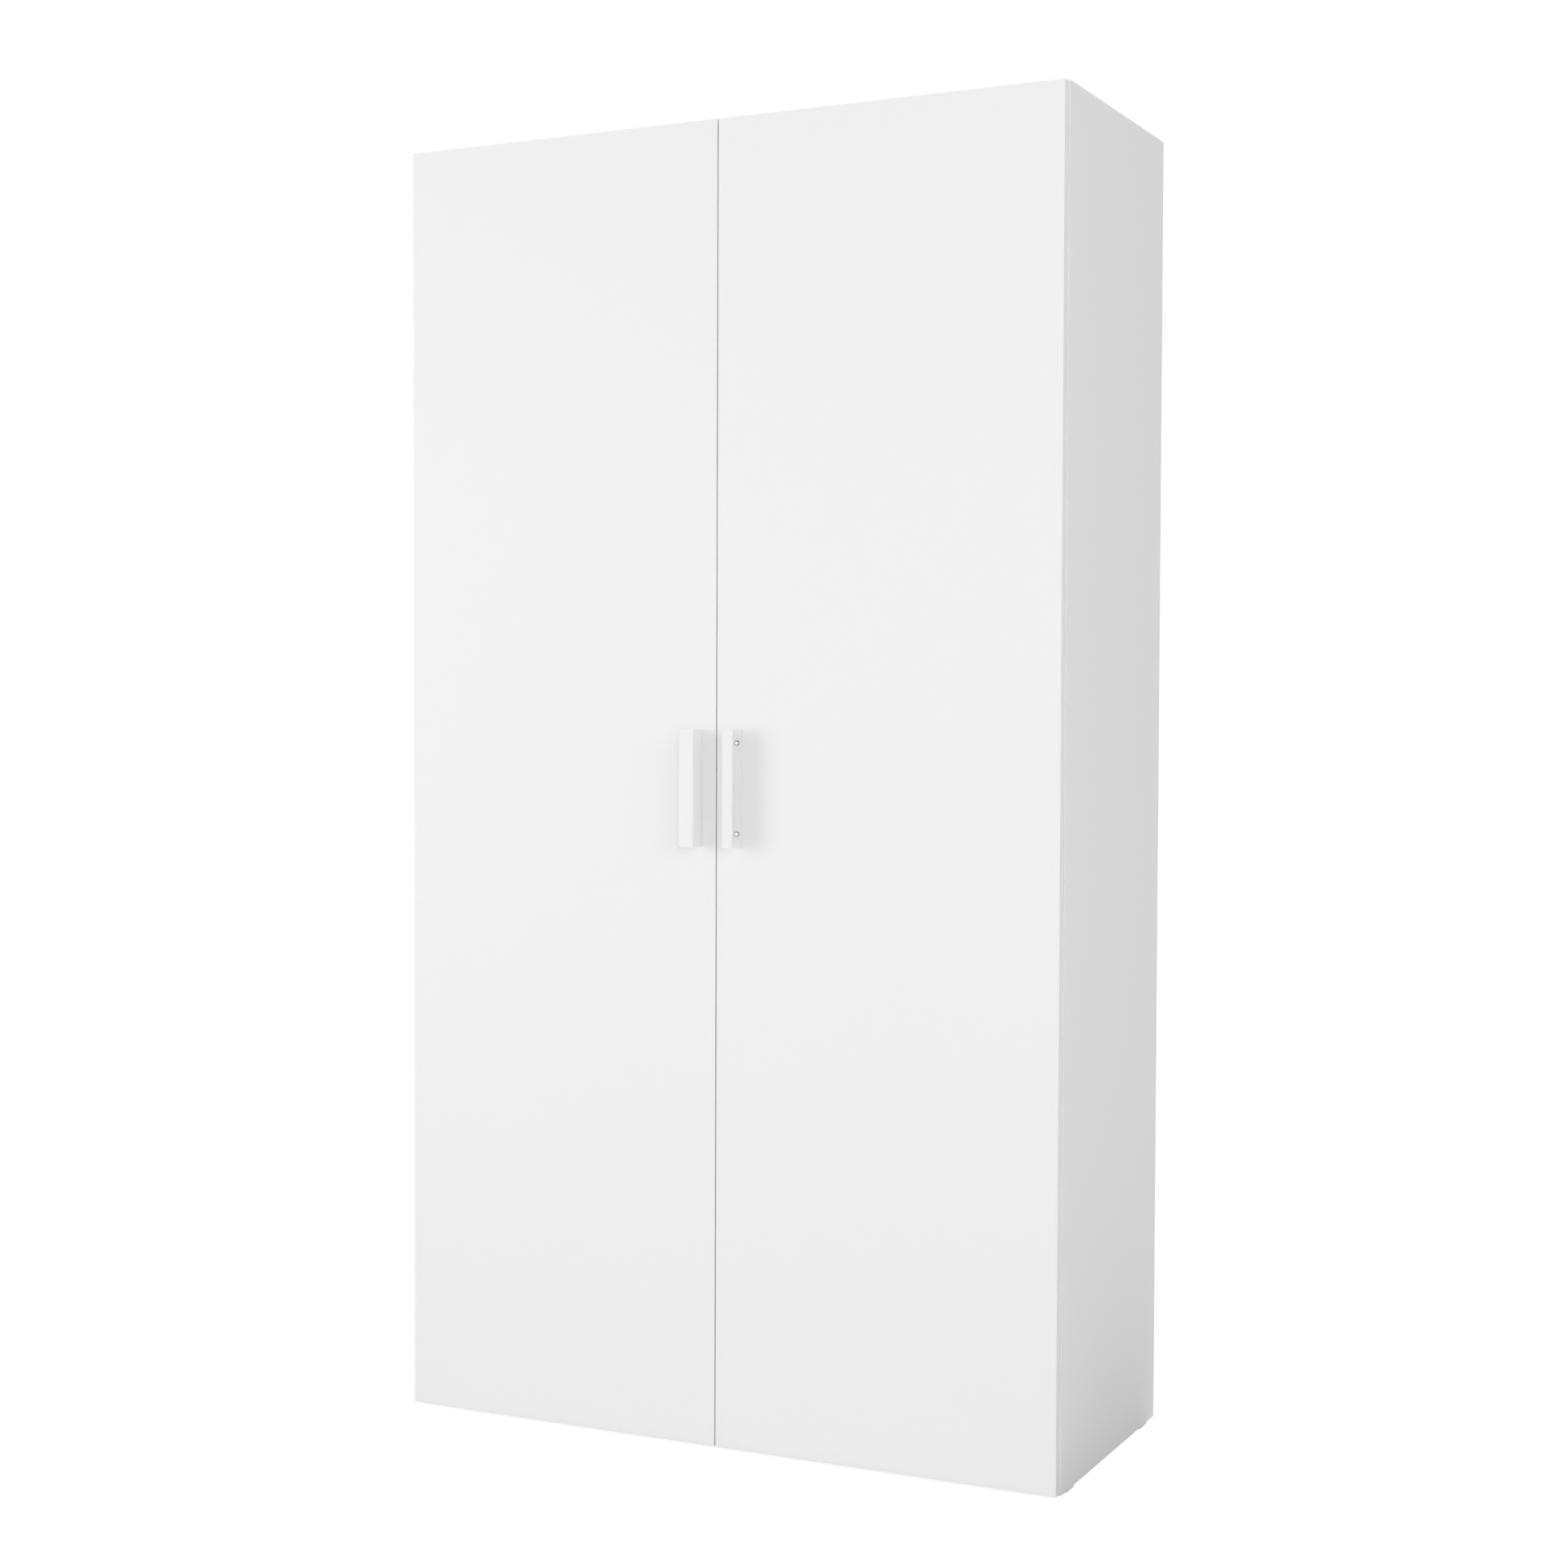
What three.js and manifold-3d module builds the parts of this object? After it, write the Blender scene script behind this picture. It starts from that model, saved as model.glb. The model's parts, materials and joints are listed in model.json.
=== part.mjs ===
// A wardrobe with two hinged doors. Millimetres, +Z up, the doors face -Y, X and Y centred, Z = 0 on the floor.
import * as THREE from 'three';
import { mergeVertices } from 'three/addons/utils/BufferGeometryUtils.js';
import Module from 'manifold-3d';

const wasm = await Module();
wasm.setup();

// Cabinet
const carcassWidth = 1000;
const carcassHeight = 1881;
const carcassDepth = 454;
const sideThickness = 16;
const endThickness = 16; // top and bottom panels
const fitGap = 0.3; // left between pieces that touch or sit in one another
const overrun = 1; // how far a cutting tool runs past the face that it opens

// Back
const backThickness = 3;
const backInset = 9; // from the rear edge of the boards to the rear face of the back
const grooveDepth = 5;
const stripFlangeWidth = 22;
const stripFlangeThickness = 1;
const stripWebThickness = 1.2;

// Doors
const doorThickness = 15;
const doorBackGap = 2;
const doorSideReveal = 1.6;
const doorEndReveal = 2;
const doorMiddleGap = 2;
const hingesPerDoor = 4;
const hingeEndDistance = 100; // from a door end to the nearest hinge

// Handle, a bent profile: u runs from the gap between the doors, p from the door's face outwards
const handleLength = 165.3;
const handleOffset = 22;
const handleWall = 2;
const handleFlangeWidth = 16.7;
const handleWebReach = 30.5;
const handleLipRun = 18.6;
const handleLipRise = 7.3;
const handleBendRadius = 1.6;
const screwSpacing = 128;
const screwOffset = 10.9; // from the web's outer face
const screwHeadRadius = 3.5;
const screwHeadHeight = 2.1;
const screwShankRadius = 1.75;
const screwShankLength = 12;
const crossLength = 4;
const crossWidth = 0.9;
const crossDepth = 1.1;
const screwSides = 12;

// Bumpers on the backs of the doors
const bumperRadius = 4.5;
const bumperEdgeDistance = 24;

// Inside fittings
const hatSpaceHeight = 250;
const shelfThickness = 16;
const shelfSetback = 22; // the shelf's front edge behind the cabinet's front edges
const pinRadius = 2.5;
const pinHoleDepth = 11;
const pinCollarRadius = 5;
const pinCollarThickness = 1.4;
const pinTongueLength = 9;
const pinTongueWidth = 7;
const pinTongueThickness = 3;
const holePitch = 32;
const holesPerRow = 5;
const holeRowDistance = 37; // hole rows and hinge plates, from the front edge or the back
const railWidth = 15;
const railHeight = 30;
const railWall = 1.1;
const railDrop = 45; // the rail's centre below the shelf
const socketWall = 2.6;
const socketPlate = 3;
const socketReach = 14;
const socketMargin = 6; // the plate beyond the cradle, at the top and at the bottom

// Glides
const glideHeight = 4;
const glideWidth = 13;
const glideLength = 42;
const glideEndDistance = 48; // from the front and back edges to a glide's centre
const pegRadius = 3.6;
const pegLength = 11;

// Cup hinge, seen from above: x from the side's outer face, y from the cabinet's front edge
const openAngle = THREE.MathUtils.degToRad(110);
const pivotX = 6.5;
const pivotY = -11.5;
const cupRadius = 17.5;
const cupDepth = 12;
const cupWall = 1;
const cupTab = 3; // door material between the cup and the door's edge
const cupFlangeThickness = 0.9;
const cupRimLip = 1;
const wingReach = 30; // above and below the cup's centre
const wingWidth = 14;
const wingOffset = 9.5; // wing centre beyond the cup's centre
const wingScrewHeight = 24;
const wingScrewRadius = 2.1;
const linkPinX = 10.12; // the link's pin in the cup, door closed
const linkPinY = -5.24;
const linkPivotDistance = 17.61; // square to the line between the pin's closed and open places
const linkBow = 3.6;
const linkThickness = 1.8;
const linkWidth = 11;
const linkEyeRadius = 2.3;
const linkPinRadius = 1.15;
const armPinRadius = 1.2;
const earGap = 0.5;
const earRadius = 2.6;
const armWall = 1.2;
const armNoseRadius = 2.6;
const armLength = 62;
const armNeckDepth = 9;
const armTailTaper = 4; // taken off the arm's rear corners
const plateThickness = 2.4;
const plateSpan = 52;
const plateBarWidth = 15;
const plateSpineWidth = 17;
const plateSpineStart = 14;

// Round shapes
const largeSides = 20;
const smallSides = 10;
const holeSides = 8;
const arcSteps = 5; // along each curve of an extruded outline

// Places worked out from the sizes
const halfWidth = carcassWidth / 2;
const handleReach = handleWebReach + handleLipRise;
const overallDepth = handleReach + doorThickness + doorBackGap + carcassDepth;
const frontY = overallDepth / 2 - carcassDepth;
const rearY = overallDepth / 2;
const baseZ = glideHeight;
const topZ = baseZ + carcassHeight;
const floorZ = baseZ + endThickness;
const ceilingZ = topZ - endThickness;
const innerHalf = halfWidth - sideThickness;
const backRearY = rearY - backInset;
const backFrontY = backRearY - backThickness;
const doorBackY = frontY - doorBackGap;
const doorFrontY = doorBackY - doorThickness;
const doorHeight = carcassHeight - 2 * doorEndReveal;
const doorMidZ = baseZ + carcassHeight / 2;
const doorOuterX = halfWidth - doorSideReveal;
const shelfTopZ = ceilingZ - hatSpaceHeight;
const shelfBottomZ = shelfTopZ - shelfThickness;
const shelfFrontY = frontY + shelfSetback;
const shelfRearY = backFrontY - stripFlangeThickness - 2 * fitGap;
const railZ = shelfBottomZ - railDrop;
const railY = (frontY + backFrontY) / 2;
const tongueTopZ = shelfBottomZ - fitGap;
const pinZ = tongueTopZ - pinTongueThickness / 2;
const pinRows = [frontY + holeRowDistance, shelfRearY - holeRowDistance];
const glideRows = [frontY + glideEndDistance, rearY - glideEndDistance];
const hingeHeights = [];
const hingeReach = doorHeight / 2 - hingeEndDistance;
for (let i = 0; i < hingesPerDoor; i++) {
  hingeHeights.push(doorMidZ - hingeReach + (2 * hingeReach * i) / (hingesPerDoor - 1));
}
const cupX = doorSideReveal + cupTab + cupRadius;

// Materials
function finish(name, colour, roughness, metalness) {
  return new THREE.MeshStandardMaterial({ name, color: colour, roughness, metalness });
}
const whiteFoil = () => finish('white_foil', 0xf2f2f1, 0.5, 0);
const whiteBack = () => finish('white_hardboard', 0xeeeeec, 0.6, 0);
const whitePaint = () => finish('white_powder_coat', 0xf0f0ef, 0.35, 0);
const nickel = () => finish('nickel_plated_steel', 0xb9b8b4, 0.3, 1);
const chromed = () => finish('chromed_steel', 0xc9cacb, 0.15, 1);
const whitePlastic = () => finish('white_plastic', 0xe9e9e6, 0.4, 0);
const clearPlastic = () => finish('clear_plastic', 0xe4e6e6, 0.25, 0);

// Solids from three.js shapes, joined and cut
function solidOf(geometry) {
  const bare = geometry.clone();
  bare.deleteAttribute('normal');
  bare.deleteAttribute('uv');
  const merged = mergeVertices(bare);
  return new wasm.Manifold(new wasm.Mesh({
    numProp: 3,
    vertProperties: new Float32Array(merged.attributes.position.array),
    triVerts: new Uint32Array(merged.index.array),
  }));
}

function geometryOf(solid) {
  const mesh = solid.getMesh();
  const geometry = new THREE.BufferGeometry();
  geometry.setAttribute('position', new THREE.BufferAttribute(new Float32Array(mesh.vertProperties), 3));
  geometry.setIndex(new THREE.BufferAttribute(new Uint32Array(mesh.triVerts), 1));
  geometry.computeVertexNormals();
  return geometry;
}

function combine(base, added, removed) {
  let solid = solidOf(base);
  for (const piece of added) solid = solid.add(solidOf(piece));
  for (const tool of removed) solid = solid.subtract(solidOf(tool));
  return geometryOf(solid);
}

function block([x0, x1], [y0, y1], [z0, z1]) {
  const geometry = new THREE.BoxGeometry(Math.abs(x1 - x0), Math.abs(y1 - y0), Math.abs(z1 - z0));
  return geometry.translate((x0 + x1) / 2, (y0 + y1) / 2, (z0 + z1) / 2);
}

// A round bar between two places on one axis; the other two coordinates are given in order
function rod(axis, radius, [from, to], [a, b], sides = smallSides) {
  const geometry = new THREE.CylinderGeometry(radius, radius, Math.abs(to - from), sides);
  const middle = (from + to) / 2;
  if (axis === 'x') return geometry.rotateZ(Math.PI / 2).translate(middle, a, b);
  if (axis === 'y') return geometry.translate(a, middle, b);
  return geometry.rotateX(Math.PI / 2).translate(a, b, middle);
}

function upright(shape, [z0, z1], curveSegments = arcSteps) {
  const geometry = new THREE.ExtrudeGeometry(shape, { depth: z1 - z0, bevelEnabled: false, curveSegments });
  return geometry.translate(0, 0, z0);
}

function stadium(width, length) {
  const radius = width / 2;
  const straight = length / 2 - radius;
  const shape = new THREE.Shape();
  shape.absarc(0, straight, radius, 0, Math.PI);
  shape.absarc(0, -straight, radius, Math.PI, 2 * Math.PI);
  shape.closePath();
  return shape;
}

// A shape drawn in x and z, extruded along Y
function upfront(shape, [y0, y1]) {
  return upright(shape, [-y1, -y0]).rotateX(Math.PI / 2);
}

// A shape drawn in y and z, extruded along X
function sideways(shape, x) {
  return upright(shape, x).rotateZ(Math.PI / 2).rotateY(Math.PI / 2);
}

const wardrobe = new THREE.Group();

// The right-hand copy of a piece is the left one given half a turn, about Y or about Z
function add(name, geometry, material, place = [0, 0, 0], turnAxis = null) {
  const mesh = new THREE.Mesh(geometry, material);
  mesh.name = name;
  mesh.position.set(...place);
  if (turnAxis) mesh.rotation[turnAxis] = Math.PI;
  wardrobe.add(mesh);
}

// Carcass boards
function backGroove(x, z) {
  return block(x, [backFrontY - fitGap, backRearY + fitGap], z);
}

function makeSide(name, hand) {
  const inner = hand * innerHalf;
  const tools = [
    backGroove([inner - hand * overrun, inner + hand * grooveDepth], [baseZ - overrun, topZ + overrun]),
  ];
  for (const y of pinRows) {
    for (let i = 0; i < holesPerRow; i++) {
      const z = pinZ + (i - (holesPerRow - 1) / 2) * holePitch;
      const depth = [inner - hand * overrun, inner + hand * pinHoleDepth];
      tools.push(rod('x', pinRadius + fitGap, depth, [y, z], holeSides));
    }
  }
  const middle = hand * (innerHalf + sideThickness / 2);
  for (const y of glideRows) tools.push(pegBore(middle, y));
  const board = block([inner, hand * halfWidth], [frontY, rearY], [baseZ, topZ]);
  add(name, combine(board, [], tools), whiteFoil());
}

function pegBore(x, y) {
  return rod('z', pegRadius + fitGap, [baseZ - overrun, baseZ + pegLength + fitGap], [x, y], holeSides);
}

function makeEnds() {
  const x = [fitGap - innerHalf, innerHalf - fitGap];
  const wide = [-innerHalf, innerHalf];
  const roof = block(x, [frontY, rearY], [ceilingZ, topZ]);
  const roofGroove = backGroove(wide, [ceilingZ - overrun, ceilingZ + grooveDepth]);
  add('top_panel', combine(roof, [], [roofGroove]), whiteFoil());
  const floor = block(x, [frontY, rearY], [baseZ, floorZ]);
  const cuts = [backGroove(wide, [floorZ - grooveDepth, floorZ + overrun])];
  for (const y of glideRows) cuts.push(pegBore(0, y));
  add('bottom_panel', combine(floor, [], cuts), whiteFoil());
}

function makeBack() {
  const tab = grooveDepth - fitGap;
  const z = [floorZ - tab, ceilingZ + tab];
  const seam = stripWebThickness / 2 + fitGap;
  for (const [name, hand] of [['back_left', -1], ['back_right', 1]]) {
    const x = [hand * seam, hand * (innerHalf + tab)];
    add(name, block(x, [backFrontY, backRearY], z), whiteBack());
  }
  const stripZ = [floorZ + fitGap, ceilingZ - fitGap];
  const flangeX = [-stripFlangeWidth / 2, stripFlangeWidth / 2];
  const near = backFrontY - fitGap;
  const far = backRearY + fitGap;
  const web = block([-stripWebThickness / 2, stripWebThickness / 2], [near - stripFlangeThickness, far], stripZ);
  const flanges = [
    block(flangeX, [near - stripFlangeThickness, near], stripZ),
    block(flangeX, [far, far + stripFlangeThickness], stripZ),
  ];
  add('back_joining_strip', combine(web, flanges, []), whitePlastic());
}

// Shelf on four pins, and the hanging rail in its two sockets
function makeShelf() {
  const x = [fitGap - innerHalf, innerHalf - fitGap];
  add('hat_shelf', block(x, [shelfFrontY, shelfRearY], [shelfBottomZ, shelfTopZ]), whiteFoil());
  const face = fitGap;
  const collar = rod('x', pinCollarRadius, [face, face + pinCollarThickness], [0, 0]);
  const shank = rod('x', pinRadius, [fitGap - pinHoleDepth, face + pinCollarThickness], [0, 0]);
  const tongueX = [face, face + pinCollarThickness + pinTongueLength];
  const tongueZ = [-pinTongueThickness / 2, pinTongueThickness / 2];
  const tongue = block(tongueX, [-pinTongueWidth / 2, pinTongueWidth / 2], tongueZ);
  const trim = block(
    [0, pinCollarThickness + pinCollarRadius],
    [-pinCollarRadius, pinCollarRadius],
    [pinTongueThickness / 2, pinCollarRadius + overrun],
  );
  const pin = combine(collar, [shank, tongue], [trim]);
  const names = ['front', 'rear'];
  pinRows.forEach((y, row) => {
    add(`shelf_pin_${names[row]}_left`, pin, nickel(), [-innerHalf, y, pinZ]);
    add(`shelf_pin_${names[row]}_right`, pin, nickel(), [innerHalf, y, pinZ], 'z');
  });
}

function makeRail() {
  const outer = stadium(railWidth, railHeight);
  outer.holes.push(stadium(railWidth - 2 * railWall, railHeight - 2 * railWall));
  const half = innerHalf - socketPlate - 2 * fitGap;
  add('hanging_rail', sideways(outer, [-half, half]), chromed(), [0, railY, railZ]);

  const cradleWidth = railWidth + 2 * (fitGap + socketWall);
  const cradleHeight = railHeight + 2 * (fitGap + socketWall);
  const space = stadium(railWidth + 2 * fitGap, railHeight + 2 * fitGap);
  const reach = socketPlate + socketReach;
  const cradle = sideways(stadium(cradleWidth, cradleHeight), [fitGap, reach]);
  const plate = sideways(stadium(cradleWidth, cradleHeight + 2 * socketMargin), [fitGap, socketPlate]);
  const bore = sideways(space, [socketPlate, reach + overrun]);
  const mouthHalf = railWidth / 2 + fitGap;
  const mouth = block([socketPlate, reach + overrun], [-mouthHalf, mouthHalf], [0, cradleHeight]);
  const holeZ = cradleHeight / 2 + socketMargin / 2 - fitGap;
  const holes = [-holeZ, holeZ].map((z) => rod('x', screwShankRadius, [0, reach], [0, z], holeSides));
  const socket = combine(plate, [cradle], [bore, mouth, ...holes]);
  add('rail_socket_left', socket, chromed(), [-innerHalf, railY, railZ]);
  add('rail_socket_right', socket, chromed(), [innerHalf, railY, railZ], 'z');
}

function makeGlides() {
  const top = baseZ - fitGap;
  const pad = upright(stadium(glideWidth, glideLength), [0, top]);
  const peg = rod('z', pegRadius, [0, baseZ + pegLength], [0, 0]);
  const glide = combine(pad, [peg], []);
  const names = ['front', 'rear'];
  const sideX = innerHalf + sideThickness / 2;
  glideRows.forEach((y, row) => {
    for (const [label, x] of [['left', -sideX], ['middle', 0], ['right', sideX]]) {
      add(`glide_${names[row]}_${label}`, glide, whitePlastic(), [x, y, 0]);
    }
  });
}

// Doors with their handles, screws and bumpers
function makeDoor(name, hand) {
  const board = block([hand * doorMiddleGap / 2, hand * doorOuterX], [doorFrontY, doorBackY],
    [doorMidZ - doorHeight / 2, doorMidZ + doorHeight / 2]);
  const tools = hingeHeights.map((z) => {
    const depth = [doorBackY - cupDepth - fitGap, doorBackY + overrun];
    return rod('y', cupRadius + fitGap, depth, [hand * (halfWidth - cupX), z], largeSides);
  });
  const screwX = hand * (handleOffset + screwOffset);
  for (const side of [-1, 1]) {
    const z = doorMidZ + side * screwSpacing / 2;
    const depth = [doorFrontY - overrun, doorFrontY + screwShankLength];
    tools.push(rod('y', screwShankRadius + fitGap, depth, [screwX, z], holeSides));
  }
  add(name, combine(board, [], tools), whiteFoil());
}

// One rounded corner of an outline, from the side of the point before it to the side of the point after it
function roundCorner(shape, before, corner, after, radius) {
  const point = new THREE.Vector2(...corner);
  const enter = new THREE.Vector2(...before).sub(point).setLength(radius).add(point);
  const leave = new THREE.Vector2(...after).sub(point).setLength(radius).add(point);
  shape.lineTo(enter.x, enter.y);
  shape.quadraticCurveTo(point.x, point.y, leave.x, leave.y);
}

function handleProfile() {
  const lipLength = Math.hypot(handleLipRun, handleLipRise);
  const inward = [handleWall * handleLipRise / lipLength, -handleWall * handleLipRun / lipLength];
  const lipEnd = [handleLipRun, handleReach];
  const lipEndInner = [lipEnd[0] + inward[0], lipEnd[1] + inward[1]];
  const slope = handleLipRise / handleLipRun;
  const throat = [handleWall, handleWebReach + inward[1] + (handleWall - inward[0]) * slope];
  const shape = new THREE.Shape();
  const flangeTop = fitGap + handleWall;
  const start = [handleFlangeWidth, fitGap];
  const heel = [0, fitGap];
  const shoulder = [0, handleWebReach];
  const notch = [handleWall, flangeTop];
  shape.moveTo(...start);
  shape.lineTo(handleFlangeWidth, flangeTop);
  roundCorner(shape, [handleFlangeWidth, flangeTop], notch, throat, handleBendRadius / 2);
  roundCorner(shape, notch, throat, lipEndInner, handleBendRadius / 2);
  shape.lineTo(...lipEndInner);
  shape.lineTo(...lipEnd);
  roundCorner(shape, lipEnd, shoulder, heel, handleBendRadius);
  roundCorner(shape, shoulder, heel, start, handleBendRadius / 2);
  shape.closePath();
  return shape;
}

function makeHandles() {
  const bendSteps = 4;
  const z = [-handleLength / 2, handleLength / 2];
  // half a turn on Z sends the profile's u to -X and its p to -Y
  const bar = upright(handleProfile(), z, bendSteps).rotateZ(Math.PI);
  const through = [-handleWall - fitGap - overrun, overrun];
  const holes = [-1, 1].map((side) => (
    rod('y', screwShankRadius + fitGap, through, [-screwOffset, side * screwSpacing / 2])
  ));
  const handle = combine(bar, [], holes);
  add('left_handle', handle, whitePaint(), [-handleOffset, doorFrontY, doorMidZ]);
  add('right_handle', handle, whitePaint(), [handleOffset, doorFrontY, doorMidZ], 'y');
}

// A revolved solid on the Y axis, its outline listed from the lowest y to the highest
function turnedSolid(points, sides) {
  return new THREE.LatheGeometry(points.map((point) => new THREE.Vector2(...point)), sides);
}

function makeHandleScrews() {
  const rimHeight = screwHeadHeight * 0.35;
  const domeSteps = 3;
  const outline = [[0, -fitGap - screwHeadHeight]];
  for (let i = 1; i <= domeSteps; i++) {
    const angle = (Math.PI / 2) * (i / domeSteps);
    const lift = (screwHeadHeight - rimHeight) * Math.cos(angle);
    outline.push([screwHeadRadius * Math.sin(angle), -fitGap - rimHeight - lift]);
  }
  const end = fitGap + handleWall + screwShankLength - fitGap;
  outline.push([screwHeadRadius, -fitGap], [screwShankRadius, -fitGap], [screwShankRadius, end - screwShankRadius]);
  outline.push([0, end]);
  const blank = turnedSolid(outline, screwSides);
  const depth = [-fitGap - screwHeadHeight - overrun, -fitGap - screwHeadHeight + crossDepth];
  const long = [-crossLength / 2, crossLength / 2];
  const short = [-crossWidth / 2, crossWidth / 2];
  const screw = combine(blank, [], [block(long, depth, short), block(short, depth, long)]);
  const faceY = doorFrontY - fitGap - handleWall;
  for (const [label, hand] of [['left', -1], ['right', 1]]) {
    for (const [level, side] of [['lower', -1], ['upper', 1]]) {
      const place = [hand * (handleOffset + screwOffset), faceY, doorMidZ + side * screwSpacing / 2];
      add(`${label}_handle_screw_${level}`, screw, nickel(), place);
    }
  }
}

function makeBumpers() {
  const thickness = doorBackGap - 2 * fitGap;
  const crown = bumperRadius * 0.7;
  const outline = [[0, 0], [bumperRadius, 0], [bumperRadius, thickness / 2], [crown, thickness], [0, thickness]];
  const bumper = turnedSolid(outline, smallSides);
  const levels = [['bottom', (baseZ + floorZ) / 2], ['top', (ceilingZ + topZ) / 2]];
  for (const [label, hand] of [['left', -1], ['right', 1]]) {
    for (const [level, z] of levels) {
      const x = hand * (doorMiddleGap / 2 + bumperEdgeDistance);
      add(`${label}_door_bumper_${level}`, combine(bumper, [], []), clearPlastic(), [x, doorBackY + fitGap, z]);
    }
  }
}

// Hinges, made for the left side about the corner of the side's outer face and front edge
const closedPin = new THREE.Vector2(linkPinX, linkPinY);
const doorPivot = new THREE.Vector2(pivotX, pivotY);
const openPin = closedPin.clone().rotateAround(doorPivot, -openAngle);
const pinTravel = openPin.clone().sub(closedPin);
const linkPivot = new THREE.Vector2(-pinTravel.y, pinTravel.x).setLength(linkPivotDistance);
linkPivot.add(closedPin).addScaledVector(pinTravel, 1 / 2);

function hingeCup() {
  const bottom = -doorBackGap - cupDepth;
  const seat = -doorBackGap + fitGap;
  const face = seat + cupFlangeThickness;
  const rim = cupRadius + cupRimLip;
  const plug = turnedSolid([[0, bottom], [cupRadius, bottom], [cupRadius, seat], [rim, seat], [rim, face],
    [0, face]], largeSides).translate(cupX, 0, 0);
  const wing = upfront(stadium(wingWidth, 2 * wingReach), [seat, face]).translate(cupX + wingOffset, 0, 0);
  const bore = rod('y', cupRadius - cupWall, [bottom + cupWall, face + overrun], [cupX, 0], largeSides);
  const holes = [-1, 1].map((side) => (
    rod('y', wingScrewRadius, [seat - overrun, face + overrun], [cupX + wingOffset, side * wingScrewHeight],
      holeSides)
  ));
  const shell = combine(plug, [wing], [bore, ...holes]);
  const inside = rod('y', cupRadius - cupWall / 2, [bottom + cupWall / 2, seat], [cupX, 0], largeSides);
  const ears = [-1, 1].map((side) => {
    const z = [side * (linkWidth / 2 + earGap), side * cupRadius];
    return meet(rod('z', earRadius, z, [linkPinX, linkPinY], holeSides), inside);
  });
  return combine(shell, ears, []);
}

// The space that two solids share
function meet(first, second) {
  return geometryOf(solidOf(first).intersect(solidOf(second)));
}

function hingeLink() {
  const bend = linkPivot.clone().add(closedPin).multiplyScalar(1 / 2);
  const across = linkPivot.clone().sub(closedPin);
  bend.add(new THREE.Vector2(across.y, -across.x).setLength(2 * linkBow));
  const curve = new THREE.QuadraticBezierCurve(closedPin, bend, linkPivot);
  const steps = 5;
  const upper = [];
  const lower = [];
  for (let i = 0; i <= steps; i++) {
    const point = curve.getPoint(i / steps);
    const tangent = curve.getTangent(i / steps);
    const offset = new THREE.Vector2(-tangent.y, tangent.x).setLength(linkThickness / 2);
    upper.push(point.clone().add(offset));
    lower.unshift(point.clone().sub(offset));
  }
  const z = [-linkWidth / 2, linkWidth / 2];
  const band = upright(new THREE.Shape([...lower.reverse(), ...upper.reverse()]), z);
  const tip = rod('z', linkPinRadius, z, [closedPin.x, closedPin.y]);
  const eye = rod('z', linkEyeRadius, z, [linkPivot.x, linkPivot.y]);
  const bore = rod('z', armPinRadius + fitGap, [z[0] - overrun, z[1] + overrun], [linkPivot.x, linkPivot.y]);
  return combine(band, [tip, eye], [bore]);
}

function hingeArm() {
  const near = linkPivot.x - armNoseRadius;
  const far = linkPivot.x + armNoseRadius;
  const plateX = [sideThickness + fitGap, sideThickness + fitGap + plateThickness];
  const plateMiddle = sideThickness + fitGap + plateThickness / 2;
  const cheek = new THREE.Shape();
  cheek.moveTo(near, linkPivot.y);
  cheek.absarc(linkPivot.x, linkPivot.y, armNoseRadius, Math.PI, 2 * Math.PI);
  cheek.lineTo(far, armLength - armTailTaper);
  cheek.lineTo(plateMiddle, armLength - armTailTaper);
  cheek.lineTo(plateMiddle, plateSpineStart);
  cheek.lineTo(near, armNeckDepth);
  cheek.closePath();
  const inner = linkWidth / 2 + earGap;
  const outer = inner + armWall;
  const cheeks = [-1, 1].map((side) => upright(cheek, side < 0 ? [-outer, -inner] : [inner, outer]));
  const roofStart = linkPivot.y + linkEyeRadius + armWall;
  const roofHalf = [[roofStart, outer], [armLength - armTailTaper, outer], [armLength, outer - armTailTaper]];
  const otherHalf = roofHalf.map(([y, z]) => [y, -z]).reverse();
  const roofOutline = [...roofHalf, ...otherHalf].map((point) => new THREE.Vector2(...point));
  const roof = sideways(new THREE.Shape(roofOutline), [far - armWall, far]);
  const pin = rod('z', armPinRadius, [-outer, outer], [linkPivot.x, linkPivot.y]);
  const spine = block(plateX, [plateSpineStart, armLength], [-plateSpineWidth / 2, plateSpineWidth / 2]);
  const bar = sideways(stadium(plateBarWidth, plateSpan), plateX).translate(0, holeRowDistance, 0);
  const slots = [armLength / 3, armLength * 0.75].map((y) => (
    rod('x', wingScrewRadius, [far - 2 * armWall, far + overrun], [y, 0], holeSides)
  ));
  const barHoles = [-1, 1].map((side) => (
    rod('x', wingScrewRadius, [0, plateX[1] + overrun], [holeRowDistance, side * holePitch / 2], holeSides)
  ));
  return combine(spine, [bar, ...cheeks, roof, pin], [...slots, ...barHoles]);
}

function makeHinges() {
  const shapes = [
    ['hinge_cup', hingeCup()],
    ['hinge_link', hingeLink()],
    ['hinge_arm', hingeArm()],
  ];
  hingeHeights.forEach((z, level) => {
    for (const [kind, shape] of shapes) {
      add(`left_${kind}_${level + 1}`, shape, nickel(), [-halfWidth, frontY, z]);
      add(`right_${kind}_${level + 1}`, shape, nickel(), [halfWidth, frontY, z], 'y');
    }
  });
}

makeSide('left_side', -1);
makeSide('right_side', 1);
makeEnds();
makeBack();
makeShelf();
makeRail();
makeGlides();
makeDoor('left_door', -1);
makeDoor('right_door', 1);
makeHandles();
makeHandleScrews();
makeBumpers();
makeHinges();

export default wardrobe;
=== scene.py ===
# A tall white wardrobe with a pair of hinged doors: its finishes, small fittings, camera, lamps and floor
import json
import math

import bmesh
import bpy
from mathutils import Matrix, Vector


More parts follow.
